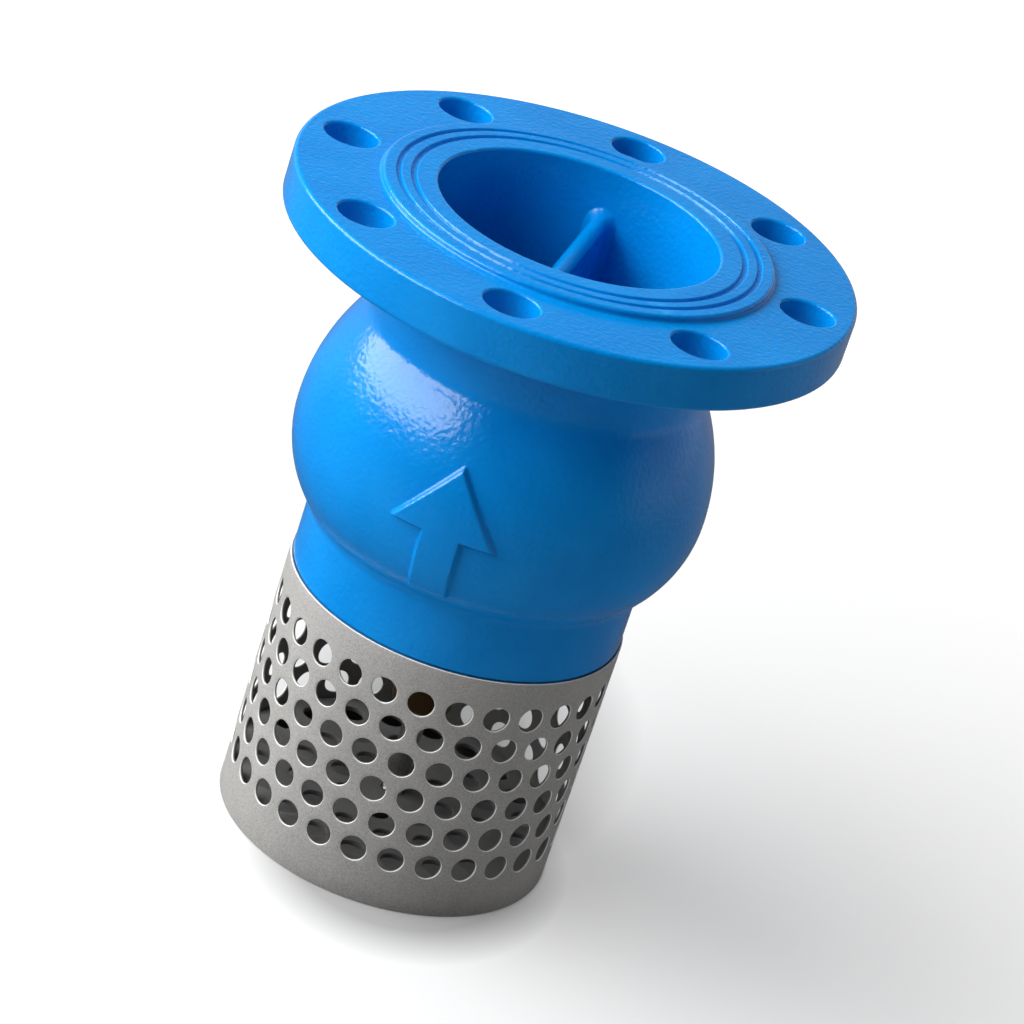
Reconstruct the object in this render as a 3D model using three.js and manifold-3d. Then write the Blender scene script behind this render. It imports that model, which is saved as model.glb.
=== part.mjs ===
// Foot valve, nominal diameter 125 mm: a spring-loaded lift check valve with a strainer basket.
// Millimetres, +Z up. The strainer's rim stands on z = 0 and the flow runs upwards along the Z axis.
import * as THREE from "three";
import { mergeVertices } from "three/addons/utils/BufferGeometryUtils.js";
import Module from "manifold-3d";

const wasm = await Module();
wasm.setup();

const GAP = 0.3;
const ROUND = 32;
const SMALL_ROUND = 16;
const SCREW_ROUND = 12;
const CHORD = THREE.MathUtils.degToRad(46);

const STRAINER_HEIGHT = 122.5;
const STRAINER_RADIUS = 76.7;
const SHEET = 1.5;
const STRAINER_INSIDE = STRAINER_RADIUS - SHEET;
const HOLES_AROUND = 28;
const HOLE_ROWS = 6;
const HOLE_RADIUS = 6;
const HOLE_SIDES = 6;
const TOP_ROW_Z = 103.7;
const ROW_SPACING = 15.7;
const FIRST_HOLE_TURN = THREE.MathUtils.degToRad(-68.6);
const HOLE_PITCH = (2 * Math.PI) / HOLES_AROUND;

const BASE_PLATE_Z = 14;
const BASE_PLATE_THICKNESS = 2.5;
const BASE_HOLE_RINGS = [
  { radius: 24, count: 8 },
  { radius: 43, count: 14 },
  { radius: 62, count: 20 },
];

const FACE_Z = 310;
const RAISED_FACE = 3;
const FLANGE_TOP_Z = FACE_Z - RAISED_FACE;
const FLANGE_THICKNESS = 20.5;
const FLANGE_BACK_Z = FLANGE_TOP_Z - FLANGE_THICKNESS;
const FLANGE_RADIUS = 125;
const RAISED_FACE_RADIUS = 87;
const BORE_RADIUS = 62.5;
const BOLT_COUNT = 8;
const BOLT_CIRCLE_RADIUS = 105;
const BOLT_HOLE_RADIUS = 12;
const BOLT_HOLE_LIP = 1.25;
const GROOVE_DEPTH = 1.4;
const GROOVES = [
  { inner: 72, outer: 74.8 },
  { inner: 78.8, outer: 81.3 },
];

const END_Z = 116;
const SPIGOT_RADIUS = 74.7;
const SHOULDER_Z = 123.2;
const NECK_RADIUS = 75.6;
const TOP_NECK_RADIUS = 74.5;
const BULGE_Z = 191.5;
const BULGE_RADIUS = 92.8;
const LOWER_BULGE_ARC = 55;
const CAVITY_RADIUS = 84.3;
const LOWER_CAVITY_ARC = 50;
const SEAT_BORE = 60.3;

const RIB_THICKNESS = 8;
const RIB_TOP_Z = 289;
const RIB_BOTTOM_Z = 242;
const BOSS_TOP_Z = 275;
const BOSS_BOTTOM_Z = 230;
const BOSS_RADIUS = 20;
const BOSS_TOP_RADIUS = 14;
const GUIDE_TOP_Z = 271;

const ARROW_HEIGHT = 60;
const ARROW_WIDTH = 46;
const ARROW_SHAFT = 17;
const ARROW_HEAD = 30;
const ARROW_RELIEF = 2.6;

const PORT_RADIUS = 50;
const SEAT_LIP_Z = 142;
const SEAT_FLANGE_RADIUS = 74.4;
const SEAT_FLANGE_TOP_Z = END_Z - GAP;
const SEAT_FLANGE_Z = SEAT_FLANGE_TOP_Z - 4.5;
const SEAT_BODY_RADIUS = SEAT_BORE - GAP;
const SEAL_GROOVE_Z = 125;
const SEAL_GROOVE_HEIGHT = 3.4;
const SEAL_GROOVE_RADIUS = 57.3;
const ORING_RADIUS = 58.8;
const ORING_SECTION = 1.2;
const SEAT_SCREWS = 6;
const SCREW_CIRCLE_RADIUS = 67.5;
const SCREW_RADIUS = 3;
const SCREW_HEAD_RADIUS = 5;
const SCREW_HEAD_HEIGHT = 6;
const SCREW_LENGTH = 16;
const SCREW_HOLE_RADIUS = 3.4;

const SPOKES = 3;
const SPOKE_THICKNESS = 6;
const SPOKE_HEIGHT = 12;
const HUB_RADIUS = 14;
const HUB_TOP_Z = 119;
const HUB_BOTTOM_Z = 64;
const HUB_BORE = 8.3;
const HUB_BORE_Z = 82;
const LOWER_BUSH_Z = 97;

const LIFT = 22;
const STEM_RADIUS = 6;
const LOWER_STEM_RADIUS = 5;
const STEM_TOP_Z = GUIDE_TOP_Z - LIFT - 0.5;
const STEM_BOTTOM_Z = 86;
const DISC_RADIUS = 58;
const DISC_UNDERSIDE_Z = 148.6;
const SPRING_SEAT_Z = 158;
const DISC_HUB_RADIUS = 13.5;
const DISC_HUB_TOP_Z = 166;
const SEAL_RADIUS = 57;
const SEAL_INSIDE = 40;
const RETAINER_RADIUS = 48.5;
const RETAINER_Z = 137.7;
const COLLAR_RADIUS = 10;
const COLLAR_HEIGHT = 4;
const STEM_WASHER = { radius: 13, thickness: 2.5 };
const STEM_NUT = { acrossFlats: 19, height: 10 };

const SPRING_RADIUS = 16;
const WIRE_RADIUS = 1.6;
const CLOSED_TURNS = 1;
const ACTIVE_TURNS = 5.5;
const SPRING_STEPS_PER_TURN = 10;

const TIE_ROD_RADIUS = 5;
const TIE_ROD_BOTTOM_Z = 1.5;
const TIE_ROD_TOP_Z = 78.5;
const TIE_WASHER = { radius: 15, thickness: 2.5 };
const TIE_NUT = { acrossFlats: 17, height: 8 };

const metal = (color, roughness) => new THREE.MeshStandardMaterial({ color, roughness, metalness: 1 });
const finish = {
  epoxy: new THREE.MeshStandardMaterial({ color: 0x0a86e6, roughness: 0.35, metalness: 0 }),
  stainless: metal(0x9a9992, 0.5),
  brightSteel: metal(0xc4c6c8, 0.25),
  bronze: metal(0xb0803f, 0.4),
  rubber: new THREE.MeshStandardMaterial({ color: 0x17181a, roughness: 0.8, metalness: 0 }),
};

function solid(geometry) {
  geometry.deleteAttribute("normal");
  geometry.deleteAttribute("uv");
  const merged = mergeVertices(geometry, 1e-4);
  const index = merged.index.array;
  const corners = [];
  for (let i = 0; i < index.length; i += 3) {
    const [a, b, c] = index.slice(i, i + 3);
    if (a !== b && b !== c && c !== a) corners.push(a, b, c);
  }
  return new wasm.Manifold(new wasm.Mesh({
    numProp: 3,
    vertProperties: new Float32Array(merged.attributes.position.array),
    triVerts: new Uint32Array(corners),
  }));
}

function part(name, shape, material) {
  const { vertProperties, triVerts } = shape.getMesh();
  const geometry = new THREE.BufferGeometry();
  geometry.setAttribute("position", new THREE.BufferAttribute(vertProperties, 3));
  geometry.setIndex(new THREE.BufferAttribute(triVerts, 1));
  geometry.computeVertexNormals();
  const mesh = new THREE.Mesh(geometry, material);
  mesh.name = name;
  return mesh;
}

// Turns an outline of [r, z] points about the Z axis. It runs upwards on its outer side.
function turned(outline, facets = ROUND, turn = 0) {
  const points = outline.map(([r, z]) => new THREE.Vector2(r, z));
  const geometry = new THREE.LatheGeometry(points, facets, turn + Math.PI / 2);
  return solid(geometry.rotateX(Math.PI / 2));
}

function ring(outline, facets = ROUND, turn = 0) {
  return turned([...outline, outline[0]], facets, turn);
}

function tube(inside, outside, bottom, top, facets = ROUND, turn = 0) {
  return ring([[inside, bottom], [outside, bottom], [outside, top], [inside, top]], facets, turn);
}

function rod(radius, bottom, top, facets = SMALL_ROUND) {
  return turned([[0, bottom], [radius, bottom], [radius, top], [0, top]], facets);
}

function arc(centreR, centreZ, radius, fromZ, toZ, steps) {
  const start = Math.asin((fromZ - centreZ) / radius);
  const end = Math.asin((toZ - centreZ) / radius);
  return Array.from({ length: steps + 1 }, (_, i) => {
    const angle = start + ((end - start) * i) / steps;
    return [centreR + radius * Math.cos(angle), centreZ + radius * Math.sin(angle)];
  });
}

// Rounds each corner [r, z, radius] of a closed outline; a corner with no radius stays sharp.
function rounded(corners) {
  return corners.flatMap(([r, z, radius], i) => {
    if (!radius) return [[r, z]];
    const corner = new THREE.Vector2(r, z);
    const toward = (other) => new THREE.Vector2(other[0], other[1]).sub(corner).normalize();
    const back = toward(corners[(i + corners.length - 1) % corners.length]);
    const ahead = toward(corners[(i + 1) % corners.length]);
    const half = Math.acos(back.dot(ahead)) / 2;
    const middle = back.clone().add(ahead).normalize();
    const centre = corner.clone().addScaledVector(middle, radius / Math.sin(half));
    const start = corner.clone().addScaledVector(back, radius / Math.tan(half)).sub(centre);
    const sweep = (Math.PI - 2 * half) * Math.sign(back.cross(ahead)) * -1;
    const steps = Math.ceil(Math.abs(sweep) / CHORD);
    return Array.from({ length: steps + 1 }, (_, step) => {
      const point = start.clone().rotateAround(new THREE.Vector2(), (sweep * step) / steps).add(centre);
      return [point.x, point.y];
    });
  });
}

function block(sizeX, sizeY, bottom, top) {
  return solid(new THREE.BoxGeometry(sizeX, sizeY, top - bottom).translate(0, 0, (top + bottom) / 2));
}

// A bar lying along Y with a full-round upper edge.
function roundTopBar(thickness, length, bottom, top) {
  const half = thickness / 2;
  const outline = new THREE.Shape();
  outline.moveTo(-half, bottom);
  outline.lineTo(half, bottom);
  outline.lineTo(half, top - half);
  outline.absarc(0, top - half, half, 0, Math.PI);
  const bar = new THREE.ExtrudeGeometry(outline, { depth: length, bevelEnabled: false, curveSegments: 8 });
  return solid(bar.translate(0, 0, -length / 2).rotateX(Math.PI / 2));
}

function sidewaysRod(radius, from, to, z, turn, sides) {
  const geometry = new THREE.CylinderGeometry(radius, radius, to - from, sides);
  return solid(geometry.translate(0, (from + to) / 2, z).rotateZ(turn - Math.PI / 2));
}

function around(count, firstTurn, make) {
  return Array.from({ length: count }, (_, i) => make(firstTurn + (i * 2 * Math.PI) / count, i));
}

function at(shape, radius, turn) {
  return shape.translate([radius * Math.cos(turn), radius * Math.sin(turn), 0]);
}

const join = (shape, more) => more.reduce((whole, piece) => whole.add(piece), shape);
const cut = (shape, tools) => tools.reduce((whole, tool) => whole.subtract(tool), shape);

function hexNut({ acrossFlats, height }, bottom, holeRadius) {
  const corner = acrossFlats / Math.sqrt(3);
  return rod(corner, bottom, bottom + height, 6)
    .subtract(rod(holeRadius, bottom - 1, bottom + height + 1));
}

function washer({ radius, thickness }, bottom, holeRadius) {
  return tube(holeRadius, radius, bottom, bottom + thickness, SMALL_ROUND);
}

const lowerArcCentre = BULGE_RADIUS - LOWER_BULGE_ARC;
const lowerCavityCentre = CAVITY_RADIUS - LOWER_CAVITY_ARC;

function zOnArc(centreR, radius, r, side) {
  return BULGE_Z + side * Math.sqrt(radius ** 2 - (r - centreR) ** 2);
}

function bulgeOutside(grow = 0) {
  const neckZ = zOnArc(lowerArcCentre, LOWER_BULGE_ARC + grow, NECK_RADIUS, -1);
  const topZ = zOnArc(0, BULGE_RADIUS + grow, TOP_NECK_RADIUS, 1);
  const lower = arc(lowerArcCentre, BULGE_Z, LOWER_BULGE_ARC + grow, neckZ + 4, BULGE_Z, 4);
  const upper = arc(0, BULGE_Z, BULGE_RADIUS + grow, BULGE_Z, topZ - 4, 4);
  return { neckZ, topZ, points: [...lower, ...upper.slice(1)] };
}

function grooveOutline({ inner, outer }) {
  const slope = 0.5;
  const floor = FACE_Z - GROOVE_DEPTH;
  return [[outer, FACE_Z], [outer - slope, floor], [inner + slope, floor], [inner, FACE_Z]];
}

function castingOutline() {
  const bulge = bulgeOutside();
  const cavityTopZ = zOnArc(0, CAVITY_RADIUS, BORE_RADIUS, 1);
  const cavityBottomZ = zOnArc(lowerCavityCentre, LOWER_CAVITY_ARC, SEAT_BORE, -1);
  const upperCavity = arc(0, BULGE_Z, CAVITY_RADIUS, cavityTopZ, BULGE_Z, 4);
  const lowerCavity = arc(lowerCavityCentre, BULGE_Z, LOWER_CAVITY_ARC, BULGE_Z, cavityBottomZ, 4);
  return rounded([
    [SPIGOT_RADIUS - 0.7, END_Z],
    [SPIGOT_RADIUS, END_Z + 0.7],
    [SPIGOT_RADIUS, SHOULDER_Z],
    [NECK_RADIUS - 0.4, SHOULDER_Z],
    [NECK_RADIUS, SHOULDER_Z + 0.4],
    [NECK_RADIUS, bulge.neckZ, 8],
    ...bulge.points,
    [TOP_NECK_RADIUS, bulge.topZ, 10],
    [TOP_NECK_RADIUS, FLANGE_BACK_Z, 12],
    [FLANGE_RADIUS, FLANGE_BACK_Z, 2],
    [FLANGE_RADIUS, FLANGE_TOP_Z, 2],
    [RAISED_FACE_RADIUS, FLANGE_TOP_Z],
    [RAISED_FACE_RADIUS, FACE_Z, 1.4],
    ...GROOVES.toReversed().flatMap(grooveOutline),
    [BORE_RADIUS + 1.2, FACE_Z],
    [BORE_RADIUS, FACE_Z - 1.2],
    ...upperCavity,
    ...lowerCavity.slice(1),
    [SEAT_BORE, END_Z],
  ]);
}

function boltHole(turn) {
  const lip = BOLT_HOLE_RADIUS + BOLT_HOLE_LIP;
  const outline = [
    [0, FLANGE_BACK_Z - 1],
    [lip, FLANGE_BACK_Z - 1],
    [lip, FLANGE_BACK_Z],
    [BOLT_HOLE_RADIUS, FLANGE_BACK_Z + BOLT_HOLE_LIP],
    [BOLT_HOLE_RADIUS, FLANGE_TOP_Z - BOLT_HOLE_LIP],
    [lip, FLANGE_TOP_Z],
    [lip, FLANGE_TOP_Z + 1],
    [0, FLANGE_TOP_Z + 1],
  ];
  return at(turned(outline, SCREW_ROUND), BOLT_CIRCLE_RADIUS, turn);
}

function ribAndBoss() {
  const rib = roundTopBar(RIB_THICKNESS, 2 * (BORE_RADIUS + 4), RIB_BOTTOM_Z, RIB_TOP_Z);
  const boss = turned([
    [0, BOSS_BOTTOM_Z],
    [BOSS_RADIUS, BOSS_BOTTOM_Z],
    [BOSS_RADIUS, RIB_BOTTOM_Z],
    [BOSS_TOP_RADIUS, BOSS_TOP_Z - 3],
    [BOSS_TOP_RADIUS - 3, BOSS_TOP_Z],
    [0, BOSS_TOP_Z],
  ], SMALL_ROUND);
  return rib.add(boss);
}

// A raised arrow that points the way of the flow, on the bulge's -Y side.
function flowArrow() {
  const half = ARROW_HEIGHT / 2;
  const outline = new THREE.Shape([
    new THREE.Vector2(-ARROW_SHAFT / 2, -half),
    new THREE.Vector2(ARROW_SHAFT / 2, -half),
    new THREE.Vector2(ARROW_SHAFT / 2, half - ARROW_HEAD),
    new THREE.Vector2(ARROW_WIDTH / 2, half - ARROW_HEAD),
    new THREE.Vector2(0, half),
    new THREE.Vector2(-ARROW_WIDTH / 2, half - ARROW_HEAD),
    new THREE.Vector2(-ARROW_SHAFT / 2, half - ARROW_HEAD),
  ]);
  const prism = new THREE.ExtrudeGeometry(outline, { depth: BULGE_RADIUS / 2, bevelEnabled: false });
  prism.rotateX(Math.PI / 2).translate(0, -BULGE_RADIUS / 2 - 8, BULGE_Z);
  const { points } = bulgeOutside(ARROW_RELIEF);
  const skin = turned([[0, points[0][1]], ...points, [0, points.at(-1)[1]]]);
  return solid(prism).intersect(skin).subtract(rod(CAVITY_RADIUS, 0, FACE_Z, ROUND));
}

function guideBore() {
  const bore = rod(HUB_BORE, BOSS_BOTTOM_Z - 1, GUIDE_TOP_Z);
  const vent = sidewaysRod(2, 0, BOSS_RADIUS + 2, GUIDE_TOP_Z - 4, 0, SCREW_ROUND);
  return bore.add(vent);
}

function seatScrewHole(turn) {
  return at(rod(SCREW_HOLE_RADIUS, 0, END_Z + SCREW_LENGTH, SCREW_ROUND), SCREW_CIRCLE_RADIUS, turn);
}

function bodyCasting() {
  const shell = join(ring(castingOutline()), [ribAndBoss(), flowArrow()]);
  const boltHoles = around(BOLT_COUNT, 0, boltHole);
  const screwHoles = around(SEAT_SCREWS, Math.PI / 6, seatScrewHole);
  return cut(shell, [guideBore(), ...boltHoles, ...screwHoles]);
}

function upperGuideBush() {
  const inside = STEM_RADIUS + GAP;
  return ring([
    [inside, BOSS_BOTTOM_Z - 3],
    [BOSS_TOP_RADIUS - 1, BOSS_BOTTOM_Z - 3],
    [BOSS_TOP_RADIUS - 1, BOSS_BOTTOM_Z - GAP],
    [HUB_BORE - GAP, BOSS_BOTTOM_Z - GAP],
    [HUB_BORE - GAP, BOSS_BOTTOM_Z + 32],
    [inside, BOSS_BOTTOM_Z + 32],
  ], SMALL_ROUND);
}

function seatRingOutline() {
  const grooveTop = SEAL_GROOVE_Z + SEAL_GROOVE_HEIGHT;
  return [
    [PORT_RADIUS, SEAT_FLANGE_Z],
    [SEAT_FLANGE_RADIUS, SEAT_FLANGE_Z],
    [SEAT_FLANGE_RADIUS, SEAT_FLANGE_TOP_Z],
    [SEAT_BODY_RADIUS, SEAT_FLANGE_TOP_Z],
    [SEAT_BODY_RADIUS, SEAL_GROOVE_Z],
    [SEAL_GROOVE_RADIUS, SEAL_GROOVE_Z],
    [SEAL_GROOVE_RADIUS, grooveTop],
    [SEAT_BODY_RADIUS, grooveTop],
    [SEAT_BODY_RADIUS, SEAT_LIP_Z - 6],
    [PORT_RADIUS + 5.5, SEAT_LIP_Z - 2],
    [PORT_RADIUS + 4.5, SEAT_LIP_Z],
    [PORT_RADIUS + 1, SEAT_LIP_Z],
    [PORT_RADIUS, SEAT_LIP_Z - 1],
  ];
}

function seatRing() {
  const spoke = (turn) => {
    const length = PORT_RADIUS + 2 - HUB_RADIUS / 2;
    const bar = block(length, SPOKE_THICKNESS, SEAT_FLANGE_Z - 5, SEAT_FLANGE_Z - 5 + SPOKE_HEIGHT);
    const reach = HUB_RADIUS / 2 + length / 2;
    return bar.translate([reach, 0, 0]).rotate([0, 0, THREE.MathUtils.radToDeg(turn)]);
  };
  const hub = rod(HUB_RADIUS, HUB_BOTTOM_Z, HUB_TOP_Z);
  const whole = join(ring(seatRingOutline()), [hub, ...around(SPOKES, Math.PI / 2, spoke)]);
  const guide = rod(HUB_BORE, HUB_BORE_Z, HUB_TOP_Z + 1);
  const drain = sidewaysRod(2, 0, HUB_RADIUS + 2, HUB_BORE_Z + 3, 0, SCREW_ROUND);
  const tapped = rod(TIE_ROD_RADIUS + GAP, HUB_BOTTOM_Z - 1, TIE_ROD_TOP_Z + 0.5);
  return cut(whole, [guide, drain, tapped, ...around(SEAT_SCREWS, Math.PI / 6, seatScrewHole)]);
}

function lowerGuideBush() {
  const inside = LOWER_STEM_RADIUS + GAP;
  const flange = HUB_TOP_Z + GAP;
  return ring([
    [inside, LOWER_BUSH_Z],
    [HUB_BORE - GAP, LOWER_BUSH_Z],
    [HUB_BORE - GAP, flange],
    [HUB_BORE + 2.2, flange],
    [HUB_BORE + 2.2, flange + 2],
    [inside, flange + 2],
  ], SMALL_ROUND);
}

function seatOring() {
  const middle = SEAL_GROOVE_Z + SEAL_GROOVE_HEIGHT / 2;
  const section = around(6, -Math.PI / 6, (angle) => [
    ORING_RADIUS + ORING_SECTION * Math.cos(angle),
    middle + ORING_SECTION * Math.sin(angle),
  ]);
  return ring(section);
}

function seatScrew(turn) {
  const underHead = SEAT_FLANGE_Z - GAP;
  const head = underHead - SCREW_HEAD_HEIGHT;
  const screw = turned([
    [0, head],
    [SCREW_HEAD_RADIUS, head],
    [SCREW_HEAD_RADIUS, underHead],
    [SCREW_RADIUS, underHead],
    [SCREW_RADIUS, underHead + SCREW_LENGTH],
    [0, underHead + SCREW_LENGTH],
  ], SCREW_ROUND);
  return at(screw, SCREW_CIRCLE_RADIUS, turn);
}

function strainerSleeve() {
  const facets = 2 * HOLES_AROUND;
  const sheet = tube(STRAINER_INSIDE, STRAINER_RADIUS, 0, STRAINER_HEIGHT, facets, FIRST_HOLE_TURN);
  const rows = Array.from({ length: HOLE_ROWS }, (_, row) => {
    const firstTurn = FIRST_HOLE_TURN - (row % 2) * (HOLE_PITCH / 2);
    const z = TOP_ROW_Z - row * ROW_SPACING;
    return around(HOLES_AROUND, firstTurn, (turn) => (
      sidewaysRod(HOLE_RADIUS, STRAINER_INSIDE - 3, STRAINER_RADIUS + 3, z, turn, HOLE_SIDES)
    ));
  });
  return cut(sheet, rows.flat());
}

function strainerBase() {
  const top = BASE_PLATE_Z + BASE_PLATE_THICKNESS;
  const inside = TIE_ROD_RADIUS + GAP;
  const plate = tube(inside, STRAINER_INSIDE - 0.4, BASE_PLATE_Z, top, 2 * HOLES_AROUND, FIRST_HOLE_TURN);
  const holes = BASE_HOLE_RINGS.flatMap(({ radius, count }) => (
    around(count, 0, (turn) => at(rod(HOLE_RADIUS, BASE_PLATE_Z - 1, top + 1, HOLE_SIDES), radius, turn))
  ));
  return cut(plate, holes);
}

function disc() {
  return ring([
    [STEM_RADIUS + GAP, SEAT_LIP_Z + GAP],
    [SEAL_INSIDE - GAP, SEAT_LIP_Z + GAP],
    [SEAL_INSIDE - GAP, DISC_UNDERSIDE_Z],
    [DISC_RADIUS, DISC_UNDERSIDE_Z],
    [DISC_RADIUS, DISC_UNDERSIDE_Z + 2],
    [DISC_RADIUS - 6, SPRING_SEAT_Z - 4],
    [SPRING_RADIUS + 6, SPRING_SEAT_Z],
    [DISC_HUB_RADIUS, SPRING_SEAT_Z],
    [DISC_HUB_RADIUS, DISC_HUB_TOP_Z],
    [STEM_RADIUS + GAP, DISC_HUB_TOP_Z],
  ]);
}

function stem() {
  const collar = DISC_HUB_TOP_Z + GAP;
  const shoulder = SEAT_LIP_Z - 18;
  return turned([
    [0, STEM_BOTTOM_Z],
    [LOWER_STEM_RADIUS - 1, STEM_BOTTOM_Z],
    [LOWER_STEM_RADIUS, STEM_BOTTOM_Z + 1],
    [LOWER_STEM_RADIUS, shoulder],
    [STEM_RADIUS, shoulder],
    [STEM_RADIUS, collar],
    [COLLAR_RADIUS, collar],
    [COLLAR_RADIUS, collar + COLLAR_HEIGHT],
    [STEM_RADIUS, collar + COLLAR_HEIGHT],
    [STEM_RADIUS, STEM_TOP_Z - 1],
    [STEM_RADIUS - 1, STEM_TOP_Z],
    [0, STEM_TOP_Z],
  ], SMALL_ROUND);
}

// The wire's centre line: closed end turns and evenly pitched turns between them.
class SpringLine extends THREE.Curve {
  constructor(bottom, top) {
    super();
    this.bottom = bottom;
    this.top = top;
    this.turns = ACTIVE_TURNS + 2 * CLOSED_TURNS;
  }

  getPoint(t, target = new THREE.Vector3()) {
    const turn = t * this.turns;
    const closedRise = 2 * WIRE_RADIUS + GAP;
    const activeRise = (this.top - this.bottom - 2 * CLOSED_TURNS * closedRise) / ACTIVE_TURNS;
    const closedBelow = Math.min(turn, CLOSED_TURNS);
    const active = THREE.MathUtils.clamp(turn - CLOSED_TURNS, 0, ACTIVE_TURNS);
    const closedAbove = Math.max(turn - CLOSED_TURNS - ACTIVE_TURNS, 0);
    const z = this.bottom + (closedBelow + closedAbove) * closedRise + active * activeRise;
    const angle = turn * 2 * Math.PI;
    return target.set(SPRING_RADIUS * Math.cos(angle), SPRING_RADIUS * Math.sin(angle), z);
  }
}

function closingSpring() {
  const inset = WIRE_RADIUS + GAP;
  const line = new SpringLine(SPRING_SEAT_Z + inset, BOSS_BOTTOM_Z - inset);
  const sides = around(6, 0, (angle) => (
    new THREE.Vector2(WIRE_RADIUS * Math.cos(angle), WIRE_RADIUS * Math.sin(angle))
  ));
  return solid(new THREE.ExtrudeGeometry(new THREE.Shape(sides), {
    steps: line.turns * SPRING_STEPS_PER_TURN,
    extrudePath: line,
    bevelEnabled: false,
  }));
}

const tieWasherZ = BASE_PLATE_Z - GAP - TIE_WASHER.thickness;
const tieNutZ = tieWasherZ - GAP - TIE_NUT.height;
const lockNutZ = HUB_BOTTOM_Z - GAP - TIE_NUT.height;
const stemWasherZ = RETAINER_Z - GAP - STEM_WASHER.thickness;
const stemNutZ = stemWasherZ - GAP - STEM_NUT.height;
const tieHole = TIE_ROD_RADIUS + GAP;
const stemHole = STEM_RADIUS + GAP;

const still = new THREE.Group();
still.add(
  part("body_casting", bodyCasting(), finish.epoxy),
  part("upper_guide_bush", upperGuideBush(), finish.bronze),
  part("seat_ring", seatRing(), finish.bronze),
  part("seat_oring", seatOring(), finish.rubber),
  part("lower_guide_bush", lowerGuideBush(), finish.bronze),
  part("closing_spring", closingSpring(), finish.brightSteel),
  part("strainer_sleeve", strainerSleeve(), finish.stainless),
  part("strainer_base", strainerBase(), finish.stainless),
  part("tie_rod", rod(TIE_ROD_RADIUS, TIE_ROD_BOTTOM_Z, TIE_ROD_TOP_Z), finish.brightSteel),
  part("tie_rod_lock_nut", hexNut(TIE_NUT, lockNutZ, tieHole), finish.brightSteel),
  part("tie_rod_washer", washer(TIE_WASHER, tieWasherZ, tieHole), finish.brightSteel),
  part("tie_rod_nut", hexNut(TIE_NUT, tieNutZ, tieHole), finish.brightSteel),
  ...around(SEAT_SCREWS, Math.PI / 6, (turn, i) => (
    part(`seat_screw_${i + 1}`, seatScrew(turn), finish.brightSteel)
  )),
);

const lifting = new THREE.Group();
lifting.add(
  part("disc", disc(), finish.stainless),
  part("disc_seal", tube(SEAL_INSIDE, SEAL_RADIUS, SEAT_LIP_Z + GAP, DISC_UNDERSIDE_Z - GAP), finish.rubber),
  part("seal_retainer", tube(stemHole, RETAINER_RADIUS, RETAINER_Z, SEAT_LIP_Z), finish.stainless),
  part("stem", stem(), finish.brightSteel),
  part("stem_washer", washer(STEM_WASHER, stemWasherZ, stemHole), finish.brightSteel),
  part("stem_nut", hexNut(STEM_NUT, stemNutZ, stemHole), finish.brightSteel),
);

const footValve = new THREE.Group();
footValve.add(still, lifting);

export default footValve;
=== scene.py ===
"""Looks of a DN 125 foot valve: a blue coated iron body over a perforated steel strainer.

Lengths are in millimetres while meshes are made, and in metres once they are Blender objects.
"""
import math

import bmesh
import bpy
import numpy as np
from mathutils import Matrix, Vector


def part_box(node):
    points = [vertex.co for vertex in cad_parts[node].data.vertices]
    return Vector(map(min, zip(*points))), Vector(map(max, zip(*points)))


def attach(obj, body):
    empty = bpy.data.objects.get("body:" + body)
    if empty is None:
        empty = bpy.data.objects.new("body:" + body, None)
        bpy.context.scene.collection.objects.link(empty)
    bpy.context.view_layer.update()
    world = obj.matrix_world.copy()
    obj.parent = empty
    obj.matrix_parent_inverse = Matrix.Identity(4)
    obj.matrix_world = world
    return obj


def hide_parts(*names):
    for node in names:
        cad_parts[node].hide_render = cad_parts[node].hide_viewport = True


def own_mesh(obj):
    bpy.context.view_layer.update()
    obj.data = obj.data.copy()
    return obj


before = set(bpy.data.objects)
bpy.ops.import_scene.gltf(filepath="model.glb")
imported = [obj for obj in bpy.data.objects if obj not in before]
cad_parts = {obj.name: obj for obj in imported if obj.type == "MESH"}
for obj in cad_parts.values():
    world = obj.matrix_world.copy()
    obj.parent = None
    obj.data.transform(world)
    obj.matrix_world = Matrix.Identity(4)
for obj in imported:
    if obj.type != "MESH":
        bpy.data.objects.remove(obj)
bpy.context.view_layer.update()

MM = 0.001
BODY = "valve_body"
LIFTING = "disc_assembly"
FULL_TURN = 2 * math.pi
FILLET_CHORD = 15


def cad_box(node):
    """Lowest and highest corner of a CAD node, in millimetres."""
    low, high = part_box(node)
    return low / MM, high / MM


CASTING_LOW, CASTING_HIGH = cad_box("body_casting")
SLEEVE_LOW, SLEEVE_HIGH = cad_box("strainer_sleeve")
SEAT_LOW, SEAT_HIGH = cad_box("seat_ring")
DISC_LOW, DISC_HIGH = cad_box("disc")

FACE_Z = CASTING_HIGH.z
END_Z = CASTING_LOW.z
FLANGE_RADIUS = CASTING_HIGH.x
FLANGE_TOP_Z = FACE_Z - 3
FLANGE_BACK_Z = FLANGE_TOP_Z - 20.5
BORE_RADIUS = FLANGE_RADIUS / 2
RAISED_FACE_RADIUS = 87
GROOVES = ((72, 74.8), (78.8, 81.3))
GROOVE_DEPTH = 1.5
BOLT_COUNT = 8
BOLT_CIRCLE_RADIUS = 105
BOLT_HOLE_RADIUS = 12
BOLT_HOLE_LIP = 1.3

SPIGOT_RADIUS = 74.7
SHOULDER_Z = SLEEVE_HIGH.z + 0.7
NECK_RADIUS = 75.6
TOP_NECK_RADIUS = 74.5
BULGE_Z = 191.5
BULGE_RADIUS = 92.8
LOWER_BULGE_ARC = 55
CAVITY_RADIUS = 84.3
LOWER_CAVITY_ARC = 50
SEAT_BORE = 60.3

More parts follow.
